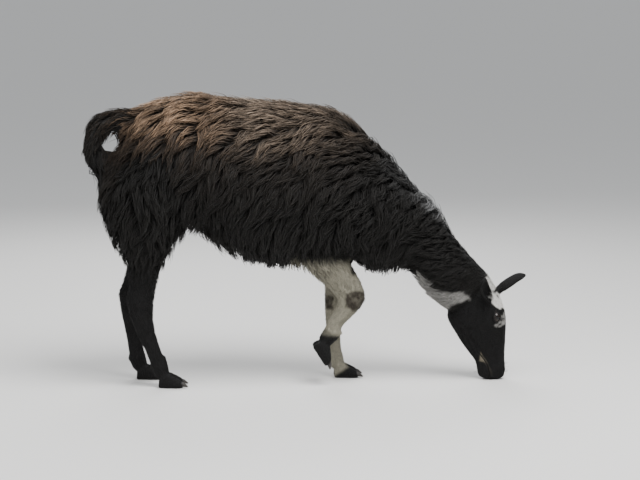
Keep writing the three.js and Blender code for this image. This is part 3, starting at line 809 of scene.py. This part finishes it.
def guide_spines(guides, skin, trees):
    """The middle of each clump of wool, grown step by step over the skin."""
    skin_tree, outer_tree = trees
    place, way, normal = guides.points, guides.way, guides.normals
    spine = [place]
    n = len(place)
    crest = crest_share(guides.regions, place)
    by_tail = below_tail(place)
    on_tail = on(guides.regions, "tail")
    top = guides.depth * (1.35 - 0.55 * rng.random(n) ** 2) * (1 + 0.2 * crest)
    top *= 1 - 0.28 * np.maximum(by_tail, on_tail)
    hangs = hanging(guides)
    slack = rng.uniform(-0.003, 0.014 + 0.008 * hangs) + 0.008 * crest
    length = guides.length * mix(1.0, rng.uniform(0.7, 1.5, n), hangs)
    length *= 1 - 0.4 * by_tail * ~on_tail
    for step in range(1, LOCK_RINGS + 1):
        share = step / LOCK_RINGS
        rise = np.interp(share, [0, 0.35, 0.7, 1], [1.0, 0.75, 0.1, 0.0])
        heading = unit(mix(way, DOWN, (hangs * share**0.5)[:, None]) + normal * rise)
        place = place + heading * (length / LOCK_RINGS)[:, None]
        close, normal, face, height = nearest(skin_tree, place)
        free = hangs * ramp(share, 0.3, 0.6)
        wanted = np.clip(height, 0.2 * top * share, top)
        height = mix(wanted, np.maximum(height, 0.001), free)
        place = mix(close + normal * height[:, None], place, (free > 0.999)[:, None])
        _, outer_normal, _, beyond = nearest(outer_tree, place)
        place = place - outer_normal * np.maximum(beyond - slack, 0)[:, None]
        way = skin.way[skin.triangles[face]].mean(1)
        spine.append(place)
    return np.stack(spine, axis=1)


def wool_spines(roots, skin, trees):
    """Wool: locks gathered in wavy clumps, whose tips draw together."""
    n = len(roots.points)
    leaders = rng.permutation(n)[: max(n // CLUMP, 1)]
    guides = chosen(roots, leaders)
    paths = guide_spines(guides, skin, trees)
    finder = KDTree(len(leaders))
    for index, at in enumerate((guides.points + APART * guides.normals).tolist()):
        finder.insert(at, index)
    finder.balance()
    sought = (roots.points + APART * roots.normals).tolist()
    leader = np.array([finder.find(at)[1] for at in sought])
    roots.clump = rng.random(len(leaders))[leader]
    path = paths[leader]
    s = np.linspace(0, 1, LOCK_RINGS + 1)[None, :, None]
    ahead = unit(paths[:, -1] - paths[:, 0])[leader][:, None]
    offset = (roots.points - guides.points[leader])[:, None]
    forward = (offset * ahead).sum(2, keepdims=True) * ahead
    pull = GATHERING * (1 - 0.55 * hanging(roots))[:, None, None]
    gathered = 1 - pull * ramp(s, 0.15, 0.95)
    reach = (roots.length / guides.length[leader])[:, None, None]
    spines = path[:, :1] + (path - path[:, :1]) * mix(1.0, reach, 0.5)
    spines = spines + forward + (offset - forward) * gathered
    # waves, in step through each clump, and curlier on the breast
    curl = 1 + 1.1 * np.exp(-(((roots.points - [0.33, 0, 0.74]) * [5, 0, 7]) ** 2).sum(1))
    pitch = rng.uniform(*WAVE_PITCHES, len(leaders))[leader][:, None]
    phase = rng.uniform(0, 2 * math.pi, len(leaders))[leader][:, None]
    phase = phase + rng.normal(0, 0.35, (n, 1))
    turn = phase + 2 * math.pi * s[..., 0] * roots.length[:, None] / pitch
    size = (WAVE_SIZE * roots.length * curl)[:, None] * ramp(s[..., 0], 0.0, 0.4)
    side = unit(np.cross(roots.normals, roots.way))[:, None]
    spines = spines + side * (size * np.sin(turn))[..., None]
    spines = spines + roots.normals[:, None] * (0.45 * size * np.cos(turn))[..., None]
    own = rng.normal(0, 1, (n, 1, 3)) * (STRAYING * roots.length)[:, None, None] * s
    return sunk(spines + own, roots)


def sunk(spines, roots):
    """Presses some locks down under the others, so that the coat is full to the skin."""
    normals = roots.normals[:, None]
    height = np.maximum(((spines - spines[:, :1]) * normals).sum(2), 0)
    share = 0.75 * rng.random(len(spines)) ** 1.3 * (1 - hanging(roots))
    return spines - normals * (height * share[:, None])[..., None]


def lock_tints(roots, spines):
    """The colour at each ring and at the tip: darker at the root with painted shade deep in the coat,
    sun-bleached and brightened with painted sunlight towards the tip.

    A lock takes its markings from the place where most of it shows, past its middle.
    """
    stations = spines.shape[1]
    place = 0.6 * (stations - 1)
    before = int(place)
    seen = mix(spines[:, before], spines[:, before + 1], place - before)
    tint, bleach, grey = markings(roots.regions, seen)
    s = np.linspace(0, 1, stations)[None, :, None]
    woolly = ramp(roots.depth, 0.006, 0.012)[:, None, None]
    uneven = mix(1.0, rng.uniform(0.7, 1.35, (len(tint), 1, 1)), mix(0.45, 1.0, woolly))
    # painted shade: darker towards the root, most in the wool, where the locks shade each other
    base_with_root_shade = tint[:, None] * uneven * mix(mix(0.85, 0.55, woolly), 1.08, s)
    # how far each tip is sun-bleached and brightened with painted sunlight, uneven from lock to lock
    # and clump to clump
    bleach = bleach * mix(0.6, 1.25, roots.chance) * mix(0.62, 1.25, roots.clump)
    weathered_and_sunlit = mix(GREY_BROWN_AND_SUNLIT, BLEACHED_AND_SUNLIT, ramp(seen[:, 0], -0.25, -0.4)[:, None, None])
    tint = mix(base_with_root_shade, weathered_and_sunlit, np.clip(bleach[:, None, None] * ramp(s, 0.2, 0.9), 0, 1))
    # towards the tips on the crest: pale grey with painted sheen
    grey = np.clip(grey * mix(0.7, 1.1, roots.chance), 0, 1)[:, None, None]
    return mix(tint, CREST_GREY_AND_SHEEN, grey * ramp(s, -0.3, 0.6))


def locks_mesh(name, roots, spines, tints):
    """One mesh of closed, three-sided, tapering locks, with their colours and UV patches."""
    n, rings = len(spines), spines.shape[1] - 1
    along_it = unit(np.gradient(spines, axis=1)[:, :-1])
    side = unit(np.cross(along_it, roots.normals[:, None]))
    up = np.cross(side, along_it)
    s = np.linspace(0, 1, rings + 1)[:-1]
    taper = np.interp(s, [0, 0.2, 0.5, 0.8, 1.0], [0.55, 1.0, 0.95, 0.6, 0.2])
    half = (roots.width[:, None] * taper / 2)[..., None]
    middle = spines[:, :-1]
    corners = np.stack([middle - side * half, middle + side * half, middle + up * half * 0.8], 2)
    points = np.concatenate([corners.reshape(n, -1, 3), spines[:, -1:]], axis=1)
    shape = [(0, 1, 2)]
    tip = 3 * rings
    for low in range(0, tip, 3):
        for a, b in ((low, low + 1), (low + 1, low + 2), (low + 2, low)):
            shape += [(a, b + 3, b), (a, a + 3, b + 3)] if low < tip - 3 else [(b, a, tip)]
    triangles = np.array(shape) + (tip + 1) * np.arange(n)[:, None, None]
    triangles = triangles.reshape(-1, 3)
    mesh = mesh_of(name, points.reshape(-1, 3), triangles)
    ring_of = np.append(np.repeat(np.arange(rings), 3), rings)
    across = np.append(np.tile([0.0, 1.0, 0.5], rings), 0.5)
    set_tint(mesh, tints[:, ring_of].reshape(-1, 3))
    strand = np.empty((n, tip + 1, 3))
    strand[..., 0] = across
    strand[..., 1] = roots.length[:, None] * ring_of / rings
    strand[..., 2] = roots.chance[:, None]
    set_attribute(mesh, "strand", "FLOAT_VECTOR", "vector", strand)
    uv = roots.uv
    uv = PATCH + (uv - uv.min(0)) / np.maximum(np.ptp(uv, axis=0), 1e-6) * (1 - 2 * PATCH)
    patch = np.stack([across - 0.5, ring_of / rings - 0.5], axis=1) * PATCH
    placed = (uv[:, None] + patch).reshape(-1, 2)
    layer = mesh.uv_layers.new(name="OFBake")
    layer.data.foreach_set("uv", placed[triangles.ravel()].astype(np.float32).ravel())
    return mesh


def set_attribute(mesh, name, kind, key, values):
    made = mesh.attributes.new(name, kind, "POINT")
    made.data.foreach_set(key, np.ascontiguousarray(values, np.float32).ravel())


def set_tint(mesh, colours):
    """Gives each corner its colour, as the materials read it."""
    rgba = np.insert(np.clip(colours, 0, 1), 3, 1.0, axis=1)
    set_attribute(mesh, "tint", "FLOAT_COLOR", "color", rgba)


# ---------- materials ----------
class Nodes:
    """A material's node tree, with short ways to add to it."""

    def __init__(self, name):
        self.material = bpy.data.materials.new(name)
        self.material.use_nodes = True
        self.tree = self.material.node_tree

    def feed(self, inputs, sources):
        """Links or sets inputs, found by name or by place."""
        for key, source in sources.items():
            if isinstance(source, bpy.types.NodeSocket):
                self.tree.links.new(source, inputs[key])
            else:
                inputs[key].default_value = source

    def add(self, kind, sources=(), output=0, **settings):
        """An output of a new node."""
        node = self.tree.nodes.new("ShaderNode" + kind)
        for key, value in settings.items():
            setattr(node, key, value)
        self.feed(node.inputs, dict(sources))
        return node.outputs[output]

    def place(self):
        return self.add("TexCoord", output="Object")

    def math(self, operation, *values):
        return self.add("Math", enumerate(values), operation=operation)

    def fitted(self, value, low, high, to_low, to_high):
        ends = {"From Min": low, "From Max": high, "To Min": to_low, "To Max": to_high}
        return self.add("MapRange", {"Value": value, **ends})

    def noise(self, vector, scale, detail, stretch=None):
        if stretch:
            vector = self.add("VectorMath", {0: vector, 1: stretch}, operation="MULTIPLY")
        sources = {"Vector": vector, "Scale": scale, "Detail": detail}
        return self.add("TexNoise", sources, "Fac")

    def tint(self, grain, low, high, dark, bright):
        """Colours the shader as the mesh says, darker and brighter with the grain."""
        tint = self.add("Attribute", output="Color", attribute_name="tint")
        scale = self.fitted(grain, low, high, dark, bright)
        scaled = self.add("VectorMath", {0: tint, "Scale": scale}, operation="SCALE")
        self.shade(Base_Color=scaled)

    def shade(self, **sources):
        shader = self.tree.nodes["Principled BSDF"]
        self.feed(shader.inputs, {key.replace("_", " "): sources[key] for key in sources})

    def bump(self, height, strength, distance):
        sources = {"Height": height, "Strength": strength, "Distance": distance}
        self.shade(Normal=self.add("Bump", sources))


def coat_material(name, roughness, sheen, specular, stretch):
    """Hair: fine strands along each lock, seen in its colour, its bump and its roughness."""
    nodes = Nodes(name)
    strand = nodes.add("Attribute", output="Vector", attribute_name="strand")
    strands = nodes.noise(strand, 1.0, 3.0, stretch)
    nodes.tint(strands, 0.25, 0.75, 0.45, 1.5)
    nodes.shade(Roughness=nodes.fitted(strands, 0.3, 0.7, roughness - 0.1, roughness + 0.12),
                Sheen_Weight=sheen, Sheen_Roughness=0.45, Specular_IOR_Level=specular)
    nodes.bump(strands, 0.8, 0.0012)
    return nodes.material


def skin_material():
    """Short hair lying flat: streaks and bump, and smoother dark skin where it's bare."""
    nodes = Nodes("skin")
    bare = nodes.add("Attribute", output="Fac", attribute_name="bare")
    place = nodes.place()
    fine = nodes.math("MULTIPLY", nodes.noise(place, 900.0, 2.0), 0.6)
    broad = nodes.math("MULTIPLY", nodes.noise(place, 60.0, 3.0), 0.4)
    both = nodes.math("ADD", fine, broad)
    nodes.tint(both, 0.3, 0.7, 0.6, 1.35)
    nodes.shade(Roughness=nodes.fitted(bare, 0.0, 1.0, 0.78, 0.42), Specular_IOR_Level=0.2)
    nodes.bump(both, 0.55, 0.0012)
    return nodes.material


def eye_material():
    """A wet dark eye: the iris's rays and the long pupil come with the mesh's own colours."""
    nodes = Nodes("eye")
    nodes.tint(nodes.noise(nodes.place(), 420.0, 3.0), 0.3, 0.7, 0.7, 1.3)
    nodes.shade(Roughness=0.25, Specular_IOR_Level=0.12, Coat_Weight=0.3, Coat_Roughness=0.04)
    return nodes.material


def horn_material():
    """Nails: growth lines across the horn, worn paler at the edge."""
    nodes = Nodes("horn")
    grain = nodes.noise(nodes.place(), 1.0, 3.0, (240.0, 30.0, 90.0))
    nodes.tint(grain, 0.3, 0.7, 0.6, 1.4)
    nodes.shade(Roughness=nodes.fitted(grain, 0.3, 0.7, 0.38, 0.6))
    nodes.bump(grain, 0.4, 0.0006)
    return nodes.material


# ---------- eyes, lashes and nails ----------
IRIS = np.array([0.01, 0.006, 0.004])
PUPIL = np.array([0.0015, 0.0015, 0.002])
EYE_WHITE = np.array([0.045, 0.036, 0.03])
HORN_DARK = np.array([0.012, 0.01, 0.009])
HORN_PALE = np.array([0.034, 0.028, 0.023])
NAIL_EDGE = 0.0035
LASHES = 46  # to an upper lid
WHISKERS = 84
LASH_WIDTH, WHISKER_WIDTH = 0.0009, 0.0006


def ball(rings, sectors):
    """A unit sphere as corners and triangles, its pole along +X."""
    bm = bmesh.new()
    bmesh.ops.create_uvsphere(bm, u_segments=sectors, v_segments=rings, radius=1.0)
    points, triangles = taken(bm)
    return points[:, [2, 0, 1]], triangles


def make_eye(side, material):
    """The eyeball: its cornea bulges over a brown iris, with a pupil that is long and level."""
    centre, length, across, looks = eye_frame(side)
    points, triangles = ball(48, 64)
    out = points[:, 0]
    from_axis = np.degrees(np.arccos(np.clip(out, -1, 1)))
    bulge = 1 + 0.045 * ramp(from_axis, 46, 10)
    level = unit(length * 0.75 + across * (-0.65 * SIDES[side]))
    around = np.stack([looks, level, np.cross(looks, level)])
    place = centre + (points * bulge[:, None]) @ around * EYE_RADIUS
    in_pupil = np.maximum(np.abs(points[:, 1]) / 0.42, np.abs(points[:, 2]) / 0.2)
    tint = mix(EYE_WHITE, IRIS, ramp(from_axis, 50, 43)[:, None])
    tint = mix(tint, IRIS * 0.25, (bell(from_axis, 44, 4) * 0.9)[:, None])
    tint = mix(tint, PUPIL, (ramp(in_pupil, 1.1, 0.9) * (out > 0))[:, None])
    mesh = mesh_of(f"eyeball_{side}", place, triangles)
    set_tint(mesh, tint)
    return piece(mesh, material, "wet_eye", [f"eye_{side}"])


def make_bristles(name, root, normals, way, reach, bend, width, material):
    """Single stiff black hairs of the head as one piece, along their way and then bent."""
    count = len(root)
    s = np.linspace(0, 1, LOCK_RINGS + 1)[None, :, None]
    reach = reach[:, None, None]
    spines = root[:, None] + way[:, None] * reach * s + bend * reach * s**2
    spines[..., 2] = np.maximum(spines[..., 2], FLOOR_GAP)
    roots = SimpleNamespace(
        normals=normals, uv=unwrapped(np.full(count, REGIONS.index("head")), root),
        length=norm(spines[:, -1] - root), width=np.full(count, width),
        chance=rng.random(count),
    )
    tints = np.broadcast_to(BLACK_HAIR, (count, LOCK_RINGS + 1, 3))
    return piece(locks_mesh(name, roots, spines, tints), material, "black_hair")


def make_lashes(side, material):
    """Long lashes along the upper lid, curving up and out."""
    centre, length, across, looks = eye_frame(side)
    dorsal = across * -SIDES[side]
    a = np.linspace(-0.86, 0.86, LASHES) + rng.normal(0, 0.01, LASHES)
    run = a * LID_HALF_LENGTH / EYE_RADIUS
    up = (LID_HALF_HEIGHT * (1 - a**2) + 0.0006) / EYE_RADIUS
    ahead = np.sqrt(np.maximum(1 - run**2 - up**2, 0.05))
    way = unit(run[:, None] * length + up[:, None] * dorsal + ahead[:, None] * looks)
    root = centre + way * (EYE_RADIUS + LID + 0.0008)
    reach = rng.uniform(0.011, 0.018, LASHES) * (1 - 0.4 * a**2)
    fan = unit(looks * 0.85 + dorsal * 0.35 + length * (a[:, None] * 0.5))
    fan = unit(fan + rng.normal(0, 0.1, (LASHES, 3)))
    bend = dorsal * 0.45 + DOWN * 0.1
    return make_bristles(f"lashes_{side}", root, way, fan, reach, bend, LASH_WIDTH, material)


def make_whiskers(skin, material):
    """Sparse whiskers round the lips and under the chin."""
    x, _, z = skin.points.T
    round_lips = (x > 0.66) & (z > 0.014) & (z < 0.085) & (skin.bare < 0.1)
    here = rng.choice(np.nonzero(round_lips)[0], WHISKERS, replace=False)
    root, normals = skin.points[here], skin.normals[here]
    lean = unit(normals + 0.6 * skin.way[here] + rng.normal(0, 0.18, (WHISKERS, 3)))
    reach = rng.uniform(0.009, 0.026, WHISKERS)
    return make_bristles("whiskers", root, normals, lean, reach, DOWN * 0.22, WHISKER_WIDTH, material)


def make_nail(node, material):
    """A nail from its solid: finer and rounded, within the solid's own outline."""
    points, triangles = refined(*merged(node), lambda at: NAIL_EDGE, 3)
    points = faired(points, edges_of(triangles)[0], 6, 0.5)
    points[:, 2] = np.maximum(points[:, 2], 0.0)
    x = points[:, 0]
    mesh = mesh_of(f"horn_{node}", points, triangles)
    set_tint(mesh, mix(HORN_DARK, HORN_PALE, ramp(x, x.min(), x.max())[:, None]))
    return piece(mesh, material, "horn", [node])


def piece(mesh, material, slot, stands_for=()):
    """A finished piece: an object with its material, riding on the body."""
    made = new_object(mesh.name, mesh)
    mesh.materials.append(material)
    if stands_for:
        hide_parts(*stands_for)
    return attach(made, "root")


# ---------- the animal ----------
def slot_of(name, woolly):
    if woolly:
        return "brown_wool" if name == "trunk" else "black_wool"
    return "pale_hair" if name.startswith("fore") else "black_hair"


def grow_coat(skin, wool, hair):
    """Wool and short hair in pieces by region, each piece with few enough triangles."""
    roots = grown_roots(skin)
    trees = [tree_of(surface, skin.triangles) for surface in (skin.points, skin.outside)]
    is_wool = roots.depth > WOOL_DEPTH
    for woolly, material, rings in ((True, wool, LOCK_RINGS), (False, hair, TUFT_RINGS)):
        kind = chosen(roots, is_wool == woolly)
        spines = wool_spines(kind, skin, trees) if woolly else tuft_spines(kind)
        spines[..., 2] = np.maximum(spines[..., 2], FLOOR_GAP)
        tints = lock_tints(kind, spines)
        each = 6 * (rings - 1) + 4  # triangles
        for name in REGIONS:
            here = np.nonzero(on(kind.regions, name))[0]
            here = here[np.argsort(kind.uv[here, 0])]
            parts = math.ceil(len(here) * each / MOST_TRIANGLES)
            for number in range(parts):
                some = np.array_split(here, parts)[number]
                label = f"{material.name}_{name}" + (f"_{number + 1}" if parts > 1 else "")
                mesh = locks_mesh(label, chosen(kind, some), spines[some], tints[some])
                piece(mesh, material, slot_of(name, woolly))


def make_skin():
    """All that the coat and the skin's own piece need to know of the skin."""
    outside, points, triangles, edges, regions = skin_surface()
    depth = norm(outside - points)
    normals = normals_of(points, triangles)
    points = with_lids(points - normals * dents(points, normals)[:, None])
    points[:, 2] = np.maximum(points[:, 2], 0.0)
    normals = normals_of(points, triangles)
    woolly = ramp(depth, 0.01, 0.02)[:, None]
    way = spread(lie_of_coat(regions, points), edges, [SMOOTHING] * 12)
    way = spread(way, edges, [SMOOTHING * woolly] * 40)
    way = unit(way - normals * (way * normals).sum(1, keepdims=True))
    way = unit(mix(way, strayed(way, normals, points), woolly))
    tint, bleach, grey = markings(regions, outside)
    return SimpleNamespace(
        points=points, outside=outside, triangles=triangles, normals=normals, way=way,
        regions=regions, depth=depth, bare=bareness(points, normals),
        tint=tint, bleach=bleach, grey=grey,
    )


BARE_SKIN = np.array([0.012, 0.0105, 0.01])
UNDER_HAIR = 0.78  # how bright the skin looks in the shade of the hairs, against them


def dress(skin):
    """Makes every piece of the animal."""
    mesh = mesh_of("skin", skin.points, skin.triangles)
    # the skin between the hairs takes a little of the tips' sun-bleaching, painted sunlight and
    # painted sheen
    under = mix(skin.tint, GREY_BROWN_AND_SUNLIT, 0.3 * skin.bleach[:, None])
    under = mix(under, CREST_GREY_AND_SHEEN, 0.5 * skin.grey[:, None])
    set_tint(mesh, mix(under * UNDER_HAIR, BARE_SKIN, skin.bare[:, None]))
    set_attribute(mesh, "bare", "FLOAT", "value", skin.bare)
    piece(mesh, skin_material(), "bare_skin", FLESH)
    wool = coat_material("wool", 0.66, 0.04, 0.16, (4.0, 40.0, 90.0))
    hair = coat_material("hair", 0.6, 0.03, 0.18, (4.0, 60.0, 90.0))
    grow_coat(skin, wool, hair)
    eye, horn = eye_material(), horn_material()
    for side in SIDES:
        make_eye(side, eye)
        make_lashes(side, hair)
    make_whiskers(skin, hair)
    for node in NAILS:
        make_nail(node, horn)


# ---------- the studio ----------
def put(name, data, place, direction):
    """A camera or a lamp at a place, looking in a direction."""
    made = new_object(name, data)
    made.location = place
    made.rotation_mode = "QUATERNION"
    made.rotation_quaternion = direction.to_track_quat("-Z", "Y")
    return made


def make_camera():
    data = bpy.data.cameras.new("camera")
    data.lens = CAMERA_LENS
    data.sensor_width = SENSOR_WIDTH
    data.clip_end = CAMERA_SIGHT
    level = math.cos(CAMERA_PITCH)
    forward = Vector((math.sin(CAMERA_YAW) * level, math.cos(CAMERA_YAW) * level,
                      -math.sin(CAMERA_PITCH)))
    bpy.context.scene.camera = put("camera", data, CAMERA_AT, forward)


FLOOR_HALF = 150.0
FLOOR_COLOUR = (0.72, 0.71, 0.69, 1.0)
SKY_COLOUR = (0.93, 0.96, 1.0, 1.0)
SKY_STRENGTH = 0.65
LIGHTS = {  # place, what it's aimed at, width, watts
    "key": ((1.2, -1.8, 4.2), (-0.1, 0.0, 0.6), 3.0, 330.0),
    "fill": ((-3.2, -3.4, 2.4), (0.0, 0.0, 0.6), 3.5, 90.0),
    "rim": ((-0.5, 3.6, 3.4), (0.0, 0.0, 0.7), 3.0, 120.0),
}


def make_studio():
    """A wide floor under an even sky, and three lamps."""
    sides = ((-1, -1), (1, -1), (1, 1), (-1, 1))
    mesh = bpy.data.meshes.new("floor")
    mesh.from_pydata([(x * FLOOR_HALF, y * FLOOR_HALF, 0) for x, y in sides], [], [(0, 1, 2, 3)])
    nodes = Nodes("floor")
    nodes.shade(Base_Color=FLOOR_COLOUR, Roughness=0.85)
    mesh.materials.append(nodes.material)
    new_object("floor", mesh)
    world = bpy.data.worlds.new("studio")
    world.use_nodes = True
    background = world.node_tree.nodes["Background"]
    background.inputs["Color"].default_value = SKY_COLOUR
    background.inputs["Strength"].default_value = SKY_STRENGTH
    bpy.context.scene.world = world
    for name, (place, aim, size, power) in LIGHTS.items():
        data = bpy.data.lights.new(name, "AREA")
        data.shape = "DISK"
        data.size = size
        data.energy = power
        put(name, data, place, Vector(aim) - Vector(place))


make_camera()
make_studio()
dress(make_skin())
